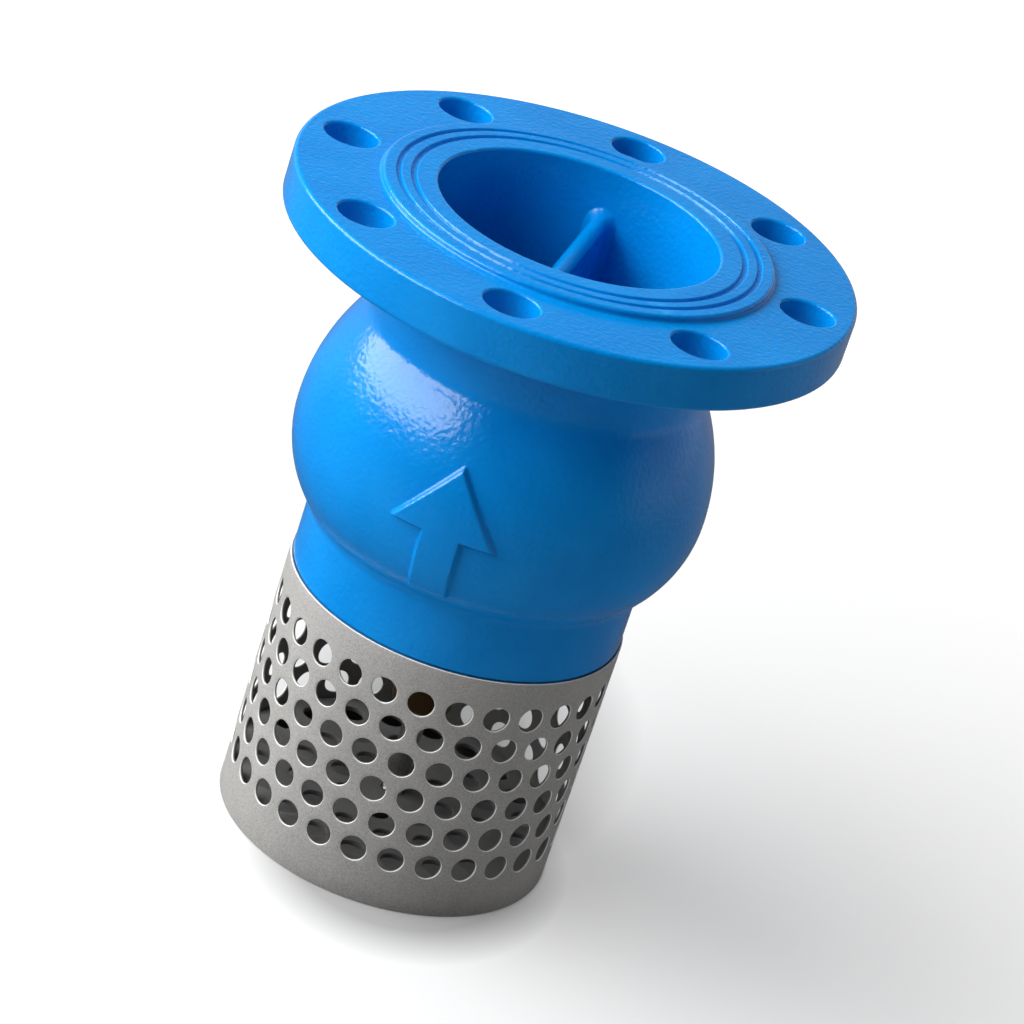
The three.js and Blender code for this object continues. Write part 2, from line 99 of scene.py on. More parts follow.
RIB_THICKNESS = 8
RIB_TOP_Z = 289
RIB_BOTTOM_Z = 242
BOSS_TOP_Z = 275
BOSS_BOTTOM_Z = 230
BOSS_RADIUS = 20
BOSS_TOP_RADIUS = 14
GUIDE_TOP_Z = 271

SCREW_COUNT = 6
SCREW_CIRCLE_RADIUS = 67.5
SCREW_RADIUS = 3
SCREW_HEAD_RADIUS = 5
SCREW_HEAD_HEIGHT = 6
SCREW_HOLE_RADIUS = 3.4
FIRST_SCREW_TURN = math.pi / 6

PORT_RADIUS = 50
SEAT_FLANGE_Z = SEAT_HIGH.z - 30.8
SEAT_FLANGE_TOP_Z = END_Z - 0.3
SEAT_BODY_RADIUS = 60
SEAL_GROOVE_RADIUS = 57.3
SEAL_GROOVE_Z = 125
SEAL_GROOVE_TOP_Z = 128.4
SPOKE_COUNT = 3
SPOKE_SIZE = (44, 6, 12)
SPOKE_MIDDLE_RADIUS = 30
HUB_RADIUS = 14
HUB_TOP_Z = 119
HUB_BORE_Z = 82
TAPPED_TOP_Z = 79

GUIDE_BORE = 8.3
BUSH_RADIUS = 8.0
STEM_RADIUS = 6
STEM_END_RADIUS = 5
STEM_STEP_Z = 124
STEM_COLLAR_RADIUS = 10
STEM_COLLAR_Z = 166.3
STEM_COLLAR_TOP_Z = 170.3
STEM_HOLE = 6.3
STEM_END_HOLE = 5.3
ROD_RADIUS = 5
ROD_HOLE = 5.3
ROD_PITCH = 1.5
DISC_RIM_Z = 148.6
DISC_CROWN_Z = 158
DISC_HUB_RADIUS = 13.5
DISC_STEP_RADIUS = 39.7
SEAL_INSIDE = 40
BASE_HOLE_RINGS = ((24, 8), (43, 14), (62, 20))

ARROW_HEIGHT = 60
ARROW_WIDTH = 46
ARROW_SHAFT = 17
ARROW_HEAD = 30
ARROW_RELIEF = 2.8
ARROW_EDGE = 2.0

STRAINER_RADIUS = SLEEVE_HIGH.x
SHEET = 1.5
HOLES_AROUND = 28
HOLE_ROWS = 6
HOLE_RADIUS = 6
TOP_ROW_Z = 103.7
ROW_SPACING = 15.7
FIRST_HOLE_TURN = math.radians(-68.6)


# Meshes

def mesh_object(name, verts, faces, smooth=True):
    mesh = bpy.data.meshes.new(name)
    mesh.from_pydata([tuple(v) for v in np.asarray(verts) * MM], [], faces)
    mesh.validate()
    if smooth:
        mesh.shade_smooth()
    obj = bpy.data.objects.new(name, mesh)
    bpy.context.scene.collection.objects.link(obj)
    return obj


def arc(centre, radius, start, end, steps):
    """Points on a circle in the (r, z) plane, from one angle to another, in radians."""
    angles = np.linspace(start, end, steps + 1)
    return [(centre[0] + radius * math.cos(a), centre[1] + radius * math.sin(a)) for a in angles]


def rounded(corners, chord):
    """A closed outline whose corners (r, z, radius) are rounded with arcs; chord is in degrees."""
    points = []
    for i, corner in enumerate(corners):
        here = Vector(corner[:2])
        radius = corner[2] if len(corner) > 2 else 0
        if not radius:
            points.append(tuple(here))
            continue
        back = (Vector(corners[i - 1][:2]) - here).normalized()
        ahead = (Vector(corners[(i + 1) % len(corners)][:2]) - here).normalized()
        half = back.angle(ahead) / 2
        centre = here + (back + ahead).normalized() * (radius / math.sin(half))
        start = here + back * (radius / math.tan(half)) - centre
        end = here + ahead * (radius / math.tan(half)) - centre
        sweep = math.pi - 2 * half
        steps = max(2, math.ceil(math.degrees(sweep) / chord))
        first = math.atan2(start.y, start.x)
        turn = math.atan2(start.x * end.y - start.y * end.x, start.dot(end))
        points += arc(centre, radius, first, first + turn, steps)
    return points


def turned_mesh(outline, turns):
    """Vertices and faces of an outline turned about the Z axis at the given azimuths."""
    rows, verts = [], []
    for r, z in outline:
        if r < 1e-6:
            rows.append([len(verts)] * len(turns))
            verts.append((0, 0, z))
            continue
        rows.append(list(range(len(verts), len(verts) + len(turns))))
        verts += [(r * math.cos(t), r * math.sin(t), z) for t in turns]
    faces = []
    loops = len(rows) if outline[0][0] > 1e-6 or outline[-1][0] > 1e-6 else len(rows) - 1
    for i in range(loops):
        low, high = rows[i], rows[(i + 1) % len(rows)]
        for k in range(len(turns)):
            n = (k + 1) % len(turns)
            corners = [low[k], low[n], high[n], high[k]]
            face = list(dict.fromkeys(corners))
            if len(face) > 2:
                faces.append(face)
    return verts, faces


def turned(name, corners, segments):
    """A turned piece from closed outline corners (r, z, fillet radius)."""
    turns = [FULL_TURN * k / segments for k in range(segments)]
    verts, faces = turned_mesh(rounded(corners, FILLET_CHORD), turns)
    obj = mesh_object(name, verts, faces)
    sharpen(obj)
    return obj


def cylinder(name, radius, bottom, top, segments):
    return turned(name, [(0, bottom), (radius, bottom), (radius, top), (0, top)], segments)


def sharpen(obj, degrees=40):
    """Smooth shading with sharp edges where faces meet at more than the given angle."""
    obj.data.shade_smooth()
    obj.data.set_sharp_from_angle(angle=math.radians(degrees))


def level_normals(obj):
    """Large flat faces keep flat shading next to small rounded edges."""
    modifier = obj.modifiers.new("level normals", "WEIGHTED_NORMAL")
    modifier.keep_sharp = True
    modifier.weight = 80


def apply_modifiers(obj):
    graph = bpy.context.evaluated_depsgraph_get()
    mesh = bpy.data.meshes.new_from_object(obj.evaluated_get(graph))
    mesh.name = obj.name
    obj.modifiers.clear()
    obj.data = mesh


def boolean(obj, tools, operation="DIFFERENCE"):
    for tool in tools:
        modifier = obj.modifiers.new("boolean", "BOOLEAN")
        modifier.object = tool
        modifier.operation = operation
        modifier.solver = "EXACT"
    apply_modifiers(obj)
    for tool in tools:
        bpy.data.objects.remove(tool)
    return obj


def moved(obj, x=0, y=0, z=0, turn=0):
    """Moves the mesh itself, in millimetres, after turning it about the Z axis."""
    obj.data.transform(Matrix.Translation(Vector((x, y, z)) * MM) @ Matrix.Rotation(turn, 4, "Z"))
    return obj


def place(obj, body, material, slot, *nodes):
    obj.data.materials.clear()
    obj.data.materials.append(material)
    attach(obj, body)
    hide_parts(*nodes)
    return obj


# Materials

class Nodes:
    """A small helper that adds nodes to one material and links them."""

    def __init__(self, name):
        self.material = bpy.data.materials.new(name)
        self.material.use_nodes = True
        self.tree = self.material.node_tree
        self.shader = self.tree.nodes["Principled BSDF"]
        self.place = self.add("ShaderNodeTexCoord").outputs["Object"]

    @classmethod
    def of(cls, tree):
        """The same helper on the world's nodes, where a place is a direction."""
        nodes = cls.__new__(cls)
        nodes.tree = tree
        nodes.direction = nodes.add("ShaderNodeTexCoord").outputs["Generated"]
        return nodes

    def add(self, kind, **values):
        node = self.tree.nodes.new(kind)
        for key, value in values.items():
            setattr(node, key, value)
        return node

    def link(self, source, target):
        self.tree.links.new(source, target)

    def stretched(self, scale):
        mapping = self.add("ShaderNodeMapping")
        mapping.inputs["Scale"].default_value = scale
        self.link(self.place, mapping.inputs["Vector"])
        return mapping.outputs["Vector"]

    def noise(self, size_mm, detail, roughness=0.5, where=None):
        """Noise whose features are about size_mm across."""
        node = self.add("ShaderNodeTexNoise")
        node.inputs["Scale"].default_value = 1 / (size_mm * MM)
        node.inputs["Detail"].default_value = detail
        node.inputs["Roughness"].default_value = roughness
        self.link(where or self.place, node.inputs["Vector"])
        return node.outputs["Fac"]

    def spread(self, value, low, high, from_low=0.0, from_high=1.0):
        node = self.add("ShaderNodeMapRange")
        ends = {"From Min": from_low, "From Max": from_high, "To Min": low, "To Max": high}
        for key, number in ends.items():
            node.inputs[key].default_value = number
        self.link(value, node.inputs["Value"])
        return node.outputs["Result"]

    def mix(self, factor, first, second):
        """first where factor is 0 and second where it is 1, for colours."""
        node = self.add("ShaderNodeMix", data_type="RGBA")
        self.set(node.inputs[0], factor)
        self.set(node.inputs[6], first)
        self.set(node.inputs[7], second)
        return node.outputs[2]

    def math(self, operation, first, second):
        node = self.add("ShaderNodeMath", operation=operation)
        self.set(node.inputs[0], first)
        self.set(node.inputs[1], second)
        return node.outputs[0]

    def blend(self, factor, first, second):
        """first where factor is 0 and second where it is 1, for plain numbers."""
        node = self.add("ShaderNodeMix", data_type="FLOAT")
        self.set(node.inputs[0], factor)
        self.set(node.inputs[2], first)
        self.set(node.inputs[3], second)
        return node.outputs[0]

    def part(self, vector, axis):
        node = self.add("ShaderNodeSeparateXYZ")
        self.link(vector, node.inputs[0])
        return node.outputs[axis]

    def across(self, centre=(0, 0), radii=(1, 1)):
        """Distance from an upright axis in metres, or in shares of an oval's radii."""
        mapping = self.add("ShaderNodeMapping")
        mapping.inputs["Location"].default_value = (-centre[0] / radii[0], -centre[1] / radii[1], 0)
        mapping.inputs["Scale"].default_value = (1 / radii[0], 1 / radii[1], 0)
        self.link(self.place, mapping.inputs["Vector"])
        node = self.add("ShaderNodeVectorMath", operation="LENGTH")
        self.link(mapping.outputs["Vector"], node.inputs[0])
        return node.outputs["Value"]

    def set(self, socket, value):
        if isinstance(value, bpy.types.NodeSocket):
            self.link(value, socket)
        elif isinstance(value, (tuple, list)):
            socket.default_value = (*value, 1.0)
        else:
            socket.default_value = value

    def bump(self, height, depth_mm, below=None):
        node = self.add("ShaderNodeBump")
        node.inputs["Strength"].default_value = 1.0
        node.inputs["Distance"].default_value = depth_mm * MM
        self.link(height, node.inputs["Height"])
        if below:
            self.link(below, node.inputs["Normal"])
        return node.outputs["Normal"]

    def finish(self, **values):
        for key, value in values.items():
            self.set(self.shader.inputs[key.replace("_", " ")], value)
        return self.material


def convex_edge_mask(nodes):
    """High on convex edges, from the shape's pointiness."""
    pointiness = nodes.add("ShaderNodeNewGeometry").outputs["Pointiness"]
    return nodes.spread(pointiness, 0.0, 1.0, 0.52, 0.62)


def epoxy_coat():
    nodes = Nodes("blue_epoxy_coat")
    cloud = nodes.noise(40, detail=3)
    peel = nodes.noise(2.4, detail=1.5, roughness=0.45)
    grain = nodes.noise(1.1, detail=1.0)
    swell = nodes.noise(14, detail=1.0)
    colour = nodes.mix(nodes.spread(cloud, 0, 1, 0.35, 0.65), (0.0, 0.221, 0.65), (0.0, 0.251, 0.71))
    # Lighter, stronger blue on convex edges
    colour = nodes.mix(convex_edge_mask(nodes), colour, (0.01, 0.30, 0.76))
    normal = nodes.bump(swell, 0.15)
    normal = nodes.bump(peel, 0.26, normal)
    normal = nodes.bump(grain, 0.05, normal)
    return nodes.finish(
        Base_Color=colour,
        Roughness=nodes.spread(cloud, 0.15, 0.22, 0.3, 0.7),
        Normal=normal,
        IOR=1.5,
    )


def steel(name, tone, roughness, grain_mm, stretch=(1, 1, 1)):
    """Bare steel with a fine grain; a stretched grain reads as turning or drawing marks."""
    nodes = Nodes(name)
    where = nodes.stretched(stretch)
    grain = nodes.noise(grain_mm, detail=3, where=where)
    cloud = nodes.noise(22, detail=3)
    dark = tuple(c * 0.82 for c in tone)
    colour = nodes.mix(nodes.spread(cloud, 0, 1, 0.3, 0.7), dark, tone)
    # Lighter on convex edges
    colour = nodes.mix(convex_edge_mask(nodes), colour, tuple(min(1, c * 1.35) for c in tone))
    rough = nodes.spread(grain, roughness - 0.06, roughness + 0.06, 0.3, 0.7)
    return nodes.finish(
        Base_Color=colour, Metallic=1.0, Roughness=rough, Normal=nodes.bump(grain, 0.006)
    )


def blasted_steel():
    """Bead-blasted sheet: matt and grey, finely speckled, near white at the cut hole lips (bare cut metal
    with a painted highlight), and darker on its inner side as painted shade.
    """
    nodes = Nodes("blasted_stainless")
    speckle = nodes.noise(0.8, detail=4, roughness=0.7)
    cloud = nodes.noise(30, detail=3)
    colour = nodes.mix(nodes.spread(cloud, 0, 1, 0.3, 0.7), (0.39, 0.382, 0.37), (0.44, 0.432, 0.42))
    colour = nodes.mix(nodes.spread(speckle, 0, 0.7, 0.38, 0.72), colour, (0.20, 0.195, 0.187))
    out = nodes.across()
    # Near white on the hole lips: the bare cut edge, lightened further as a painted highlight
    cut = nodes.spread(out, 1.0, 0.0, (STRAINER_RADIUS - 0.16) * MM, (STRAINER_RADIUS - 0.05) * MM)
    colour = nodes.mix(cut, colour, (0.95, 0.94, 0.92))
    # Painted shade: the inner side of the sheet is darkened, and so is the whole base plate, which lies
    # inside this radius
    inside = nodes.spread(out, 1.0, 0.0, (STRAINER_RADIUS - 0.8) * MM, (STRAINER_RADIUS - 0.4) * MM)
    colour = nodes.mix(inside, colour, (0.165, 0.163, 0.16))
    return nodes.finish(
        Base_Color=colour,
        Metallic=0.05,
        Roughness=nodes.spread(speckle, 0.62, 0.76, 0.3, 0.7),
        Specular_IOR_Level=0.35,
        Normal=nodes.bump(speckle, 0.12),
    )


def rubber():
    nodes = Nodes("black_rubber")
    grain = nodes.noise(0.7, detail=3)
    cloud = nodes.noise(12, detail=2)
    colour = nodes.mix(cloud, (0.010, 0.010, 0.011), (0.022, 0.022, 0.023))
    return nodes.finish(
        Base_Color=colour, Roughness=nodes.spread(cloud, 0.6, 0.8), Normal=nodes.bump(grain, 0.02)
    )


# The body casting

def z_on_arc(centre_r, radius, r, side):
    return BULGE_Z + side * math.sqrt(radius ** 2 - (r - centre_r) ** 2)


def bulge_arc(centre_r, radius, from_z, to_z, steps):
    start, end = (math.asin((z - BULGE_Z) / radius) for z in (from_z, to_z))
    return arc((centre_r, BULGE_Z), radius, start, end, steps)


def groove(inner, outer):
    floor = FACE_Z - GROOVE_DEPTH
    wall = 0.6
    return [
        (outer, FACE_Z, 0.5),
        (outer - wall, floor, 0.5),
        (inner + wall, floor, 0.5),
        (inner, FACE_Z, 0.5),
    ]


def casting_outline():
    """The casting's closed section, from the spigot up the outside and down through the bore."""
    lower_centre = BULGE_RADIUS - LOWER_BULGE_ARC
    cavity_centre = CAVITY_RADIUS - LOWER_CAVITY_ARC
    neck_z = z_on_arc(lower_centre, LOWER_BULGE_ARC, NECK_RADIUS, -1)
    top_z = z_on_arc(0, BULGE_RADIUS, TOP_NECK_RADIUS, 1)
    cavity_top = z_on_arc(0, CAVITY_RADIUS, BORE_RADIUS, 1)
    cavity_bottom = z_on_arc(cavity_centre, LOWER_CAVITY_ARC, SEAT_BORE, -1)
    grooves = [corner for pair in reversed(GROOVES) for corner in groove(*pair)]
    return rounded([
        (SPIGOT_RADIUS - 0.8, END_Z),
        (SPIGOT_RADIUS, END_Z + 0.8),
        (SPIGOT_RADIUS, SHOULDER_Z, 0.2),
        (NECK_RADIUS, SHOULDER_Z, 0.4),
        (NECK_RADIUS, neck_z, 8),
        *bulge_arc(lower_centre, LOWER_BULGE_ARC, neck_z + 4, BULGE_Z, 64),
        *bulge_arc(0, BULGE_RADIUS, BULGE_Z, top_z - 4, 90)[1:],
        (TOP_NECK_RADIUS, top_z, 10),
        (TOP_NECK_RADIUS, FLANGE_BACK_Z, 12),
        (FLANGE_RADIUS, FLANGE_BACK_Z, 2.2),
        (FLANGE_RADIUS, FLANGE_TOP_Z, 2.0),
        (RAISED_FACE_RADIUS, FLANGE_TOP_Z, 1.2),
        (RAISED_FACE_RADIUS, FACE_Z, 1.5),
        *grooves,
        (BORE_RADIUS, FACE_Z, 1.4),
        *bulge_arc(0, CAVITY_RADIUS, cavity_top, BULGE_Z, 16),
        *bulge_arc(cavity_centre, LOWER_CAVITY_ARC, BULGE_Z, cavity_bottom, 16)[1:],
        (SEAT_BORE, END_Z),
    ], chord=10)


def arrow_outline():
    half = ARROW_HEIGHT / 2
    neck = half - ARROW_HEAD
    right = [(ARROW_SHAFT / 2, -half), (ARROW_SHAFT / 2, neck), (ARROW_WIDTH / 2, neck)]
    return [*right, (0, half), *[(-x, z) for x, z in reversed(right)]]


def depth_inside(points, outline):
    """How far inside a polygon each point lies; negative outside."""
    ends = np.roll(outline, -1, axis=0)
    nearest = np.full(len(points), np.inf)
    inside = np.zeros(len(points), bool)
    for a, b in zip(outline, ends):
        along = b - a
        t = np.clip((points - a) @ along / (along @ along), 0, 1)
        nearest = np.minimum(nearest, np.linalg.norm(points - a - t[:, None] * along, axis=1))
        spans = (a[1] > points[:, 1]) != (b[1] > points[:, 1])
        crossing = a[0] + (points[:, 1] - a[1]) * along[0] / (along[1] or 1e-9)
        inside ^= spans & (points[:, 0] < crossing)
    return np.where(inside, nearest, -nearest)


def raise_arrow(verts):
    """Lifts the skin of the bulge's -Y side into a soft-edged arrow."""
    verts = np.array(verts, float)
    radius = np.hypot(verts[:, 0], verts[:, 1])
    near = (verts[:, 1] < 0) & (np.abs(verts[:, 0]) < ARROW_WIDTH) & (radius > SEAT_BORE)
    near &= np.abs(verts[:, 2] - BULGE_Z) < ARROW_HEIGHT * 0.7
    outside = np.hypot(radius - (BULGE_RADIUS - LOWER_BULGE_ARC), verts[:, 2] - BULGE_Z)
    near &= (outside > LOWER_BULGE_ARC - 0.5) & (radius > CAVITY_RADIUS - 18)
    near &= np.hypot(radius, verts[:, 2] - BULGE_Z) > CAVITY_RADIUS + 1
    spot = verts[near]
    depth = depth_inside(spot[:, [0, 2]] - [0, BULGE_Z], np.array(arrow_outline(), float))
    t = np.clip((depth + ARROW_EDGE * 0.6) / ARROW_EDGE, 0, 1)
    lift = ARROW_RELIEF * t * t * (3 - 2 * t)
    out = spot - [0, 0, BULGE_Z]
    out /= np.linalg.norm(out, axis=1)[:, None]
    verts[near] = spot + out * lift[:, None]
    return verts


def casting_turns():
    """Azimuths for the casting: close together across the arrow, wider elsewhere."""
    half = math.asin((ARROW_WIDTH / 2 + 5) / BULGE_RADIUS)
    front = -math.pi / 2
    fine = np.linspace(front - half, front + half, 112)
    coarse = np.linspace(front + half, front - half + FULL_TURN, 150)
    return [*fine, *coarse[1:-1]]


def flared_hole(x, y):
    """A cutter for a bolt hole with rounded lips at both faces of the flange."""
    lip = BOLT_HOLE_LIP
    outer = BOLT_HOLE_RADIUS + lip
    over = 1.0
    top = arc((outer, FLANGE_TOP_Z - lip), lip, math.pi, math.pi / 2, 6)
    bottom = arc((outer, FLANGE_BACK_Z + lip), lip, -math.pi / 2, -math.pi, 6)
    outline = [
        (0, FLANGE_BACK_Z - over),
        (outer, FLANGE_BACK_Z - over),
        *bottom,
        *top,
        (outer, FLANGE_TOP_Z + over),
        (0, FLANGE_TOP_Z + over),
    ]
    turns = [FULL_TURN * k / 56 for k in range(56)]
    return moved(mesh_object("bolt_hole_cutter", *turned_mesh(outline, turns)), x, y)


def casting_shell():
    verts, faces = turned_mesh(casting_outline(), casting_turns())
    shell = mesh_object("body_casting_shell", raise_arrow(verts), faces)
    angles = [FULL_TURN * k / BOLT_COUNT for k in range(BOLT_COUNT)]
    r = BOLT_CIRCLE_RADIUS
    boolean(shell, [flared_hole(r * math.cos(a), r * math.sin(a)) for a in angles])
    sharpen(shell)
    level_normals(shell)
    return shell


def rib_section(half_width, top_z):
    """A web section with a full-round top, as (x, z) points."""
    crown = arc((0, top_z - half_width), half_width, 0, math.pi, 20)
    return [(half_width, RIB_BOTTOM_Z), (half_width, (RIB_BOTTOM_Z + top_z) / 2), *crown,
            (-half_width, (RIB_BOTTOM_Z + top_z) / 2), (-half_width, RIB_BOTTOM_Z)]


def casting_rib():
    """The web across the bore. It widens and rises in a fillet where it meets the wall."""
    fillet = 7.0
    reach = BORE_RADIUS + 3
    near_wall = [BORE_RADIUS - fillet * (1 - math.cos(a)) for a in np.linspace(math.pi / 2, 0, 12)]
    half_stations = [0.0, 20.0, 40.0, *near_wall, reach]
    stations = sorted({-y for y in half_stations} | set(half_stations))
    verts, faces = [], []
    for y in stations:
        into = max(0.0, fillet - (BORE_RADIUS - abs(y)))
        flare = fillet - math.sqrt(max(0.0, fillet ** 2 - min(into, fillet) ** 2))
        section = rib_section(RIB_THICKNESS / 2 + flare * 0.8, RIB_TOP_Z + flare * 0.5)
        verts += [(x, y, z) for x, z in section]
    size = len(section)
    for i in range(len(stations) - 1):
        for k in range(size):
            a, b = i * size + k, i * size + (k + 1) % size
            faces.append([a, a + size, b + size, b])
    faces.append(list(range(size)))
    faces.append(list(range(len(verts) - 1, len(verts) - size - 1, -1)))
    rib = mesh_object("body_casting_rib", verts, faces)
    boss = turned("boss", [
        (0, BOSS_BOTTOM_Z),
        (BOSS_RADIUS, BOSS_BOTTOM_Z, 1.5),
        (BOSS_RADIUS, RIB_BOTTOM_Z, 12),
        (BOSS_TOP_RADIUS, BOSS_TOP_Z, 4),
        (0, BOSS_TOP_Z),
    ], 64)
    boolean(rib, [boss], "UNION")
    boolean(rib, [cylinder("bore", GUIDE_BORE, BOSS_BOTTOM_Z - 2, GUIDE_TOP_Z, 48)])
    sharpen(rib)
    return rib


# The strainer

def strainer_sleeve():
    """The perforated sleeve: a cell of quads round each hole, wrapped round the axis."""
    pitch = FULL_TURN / HOLES_AROUND
    side = 8
    inner = STRAINER_RADIUS - SHEET
    lip = 0.45
    cell_width = pitch * STRAINER_RADIUS
    edge = []
    for ahead, across in (((0, 1), (1, 0)), ((-1, 0), (0, 1)), ((0, -1), (-1, 0)), ((1, 0), (0, -1))):
        edge += [np.array(across) + np.array(ahead) * (2 * k / side - 1) for k in range(side)]
    edge = np.array(edge) * [cell_width / 2, ROW_SPACING / 2]
    angle = np.arctan2(edge[:, 1], edge[:, 0])
    round_edge = np.stack([np.cos(angle), np.sin(angle)], 1)
    curve = [(lip * (1 - math.sin(a)), lip * (1 - math.cos(a))) for a in np.linspace(0, math.pi / 2, 4)]
    rings = [(edge, STRAINER_RADIUS)]
    rings.append(((edge + round_edge * (HOLE_RADIUS + lip)) / 2, STRAINER_RADIUS))
    rings += [(round_edge * (HOLE_RADIUS + out), STRAINER_RADIUS - down) for out, down in curve]
    rings += [(round_edge * (HOLE_RADIUS + out), inner + down) for out, down in reversed(curve)]
    rings.append(((edge + round_edge * (HOLE_RADIUS + lip)) / 2, inner))
    rings.append((edge, inner))

    points, faces, index = [], [], {}

    def vertex(arc_length, z, radius):
        turn = arc_length / STRAINER_RADIUS
        key = (round((turn % FULL_TURN) * 1e4) % round(FULL_TURN * 1e4), round(z * 100), round(radius * 100))
        if key not in index:
            index[key] = len(points)
            points.append((radius * math.cos(turn), radius * math.sin(turn), z))
        return index[key]

    for row in range(HOLE_ROWS):
        z = TOP_ROW_Z - row * ROW_SPACING
        for k in range(HOLES_AROUND):
            start = FIRST_HOLE_TURN + (k - (row % 2) / 2) * pitch
            layers = [
                [vertex(start * STRAINER_RADIUS + u, z + v, radius) for u, v in ring]
                for ring, radius in rings
            ]
            for low, high in zip(layers, layers[1:]):
                for i in range(len(low)):
                    j = (i + 1) % len(low)
                    faces.append([low[i], low[j], high[j], high[i]])

    def band(edge_z, rim_z):
        """The plain sheet between the hole rows and a rim, with a rounded rim edge."""
        toward = math.copysign(1, rim_z - edge_z)
        rim = 0.4
        section = [(STRAINER_RADIUS, edge_z), (STRAINER_RADIUS, (edge_z + rim_z) / 2)]
        turn_in = [(rim * (1 - math.cos(a)), rim * (1 - math.sin(a))) for a in np.linspace(0, math.pi / 2, 4)]
        section += [(STRAINER_RADIUS - into, rim_z - toward * down) for into, down in turn_in]
        section += [(inner + into, rim_z - toward * down) for into, down in reversed(turn_in)]
        section += [(inner, (edge_z + rim_z) / 2), (inner, edge_z)]
        steps = HOLES_AROUND * side
        for (r1, z1), (r2, z2) in zip(section, section[1:]):
            for k in range(steps):
                u1, u2 = (FIRST_HOLE_TURN * STRAINER_RADIUS + cell_width * n / side for n in (k, k + 1))
                corners = [vertex(u1, z1, r1), vertex(u2, z1, r1), vertex(u2, z2, r2), vertex(u1, z2, r2)]
                faces.append(corners if toward > 0 else corners[::-1])

    band(TOP_ROW_Z + ROW_SPACING / 2, SLEEVE_HIGH.z)
    band(TOP_ROW_Z - (HOLE_ROWS - 0.5) * ROW_SPACING, SLEEVE_LOW.z)
    sleeve = mesh_object("strainer_sleeve_sheet", points, faces)
    sharpen(sleeve, 50)
    return sleeve


def perforated_plate(name, radius, bottom, thickness, hole_rings, centre_hole):
    """A round plate with rings of holes, its edges slightly rounded."""
    bevel = 0.3
    curve = bpy.data.curves.new(name, "CURVE")
    curve.dimensions = "2D"
    curve.fill_mode = "BOTH"
    curve.extrude = (thickness / 2 - bevel) * MM
    curve.bevel_depth = bevel * MM
    curve.bevel_resolution = 2
    circles = [(0, 0, radius - bevel, 160), (0, 0, centre_hole + bevel, 40)]
    for ring_radius, count in hole_rings:
        for k in range(count):
            a = FULL_TURN * k / count
            circles.append((ring_radius * math.cos(a), ring_radius * math.sin(a), HOLE_RADIUS + bevel, 32))
    for x, y, r, steps in circles:
        spline = curve.splines.new("POLY")
        spline.points.add(steps - 1)
        for k, point in enumerate(spline.points):
            a = FULL_TURN * k / steps
            point.co = ((x + r * math.cos(a)) * MM, (y + r * math.sin(a)) * MM, 0, 1)
        spline.use_cyclic_u = True
    source = bpy.data.objects.new(name, curve)
    bpy.context.scene.collection.objects.link(source)
    graph = bpy.context.evaluated_depsgraph_get()
    mesh = bpy.data.meshes.new_from_object(source.evaluated_get(graph))
    bpy.data.objects.remove(source)
    shape = bmesh.new()
    shape.from_mesh(mesh)
    bmesh.ops.remove_doubles(shape, verts=shape.verts, dist=0.01 * MM)
    bmesh.ops.recalc_face_normals(shape, faces=shape.faces)
    shape.to_mesh(mesh)
    shape.free()
    plate = bpy.data.objects.new(name, mesh)
    bpy.context.scene.collection.objects.link(plate)
    sharpen(plate)
    return moved(plate, z=bottom + thickness / 2)


# Fasteners and inner parts

def hexagon(name, across_flats, bottom, top):
    corner = across_flats / math.sqrt(3)
    turns = [FULL_TURN * k / 6 for k in range(6)]
    outline = [(0, bottom), (corner, bottom), (corner, top), (0, top)]
    return mesh_object(name, *turned_mesh(outline, turns), smooth=False)


def hex_nut(name, across_flats, bottom, height, hole):
    top = bottom + height
    corner = across_flats / math.sqrt(3)
    rise = (corner - across_flats * 0.475) * math.tan(math.radians(30))
    chamfer = turned("chamfer", [
        (0, bottom),
        (across_flats * 0.475, bottom),
        (corner + 0.5, bottom + rise + 0.3),
        (corner + 0.5, top - rise - 0.3),
        (across_flats * 0.475, top),
        (0, top),
    ], 72)
    thread = turned("thread", [
        (0, bottom - 1),
        (hole + 2, bottom - 1),
        (hole, bottom + 1),
        (hole, top - 1),
        (hole + 2, top + 1),
        (0, top + 1),
    ], 48)
    nut = hexagon(name, across_flats, bottom, top)
    boolean(nut, [chamfer], "INTERSECT")
    boolean(nut, [thread])
    sharpen(nut, 25)
    return nut


def threaded_rod(name, radius, bottom, top, pitch, stretches):
    """A rod with a helical thread along each (from, to) stretch and plain ends and shank."""
    depth = pitch * 0.55
    per_turn = 7
    segments = 32
    z_values = {bottom, bottom + depth, top - depth, top}
    for low, high in stretches:
        steps = int((high - low) / pitch * per_turn)
        z_values |= set(np.linspace(low, high, steps + 1))
    verts, faces, rows = [(0, 0, bottom)], [], []
    for z in sorted(z_values):
        row = []
        fade = max((min(1, max(0, min(z - low, high - z) / pitch)) for low, high in stretches), default=0)
        chamfer = depth if z in (bottom, top) else 0
        for k in range(segments):
            phase = (z / pitch - k / segments) % 1
            cut = depth * min(1, abs(2 * phase - 1) * 1.6) * fade
            r = radius - max(cut, chamfer)
            a = FULL_TURN * k / segments
            row.append(len(verts))
            verts.append((r * math.cos(a), r * math.sin(a), z))
        rows.append(row)
    verts.append((0, 0, top))
    for k in range(segments):
        n = (k + 1) % segments
        faces.append([0, rows[0][n], rows[0][k]])
        faces.append([len(verts) - 1, rows[-1][k], rows[-1][n]])
        for low, high in zip(rows, rows[1:]):
            faces.append([low[k], low[n], high[n], high[k]])
    obj = mesh_object(name, verts, faces)
    sharpen(obj, 50)
    return obj


def washer(name, node):
    low, high = cad_box(node)
    hole = {"stem_washer": STEM_HOLE, "tie_rod_washer": ROD_HOLE}[node]
    edge = 0.4
    return turned(name, [
        (hole, low.z, edge), (high.x, low.z, edge), (high.x, high.z, edge), (hole, high.z, edge)
    ], 72)


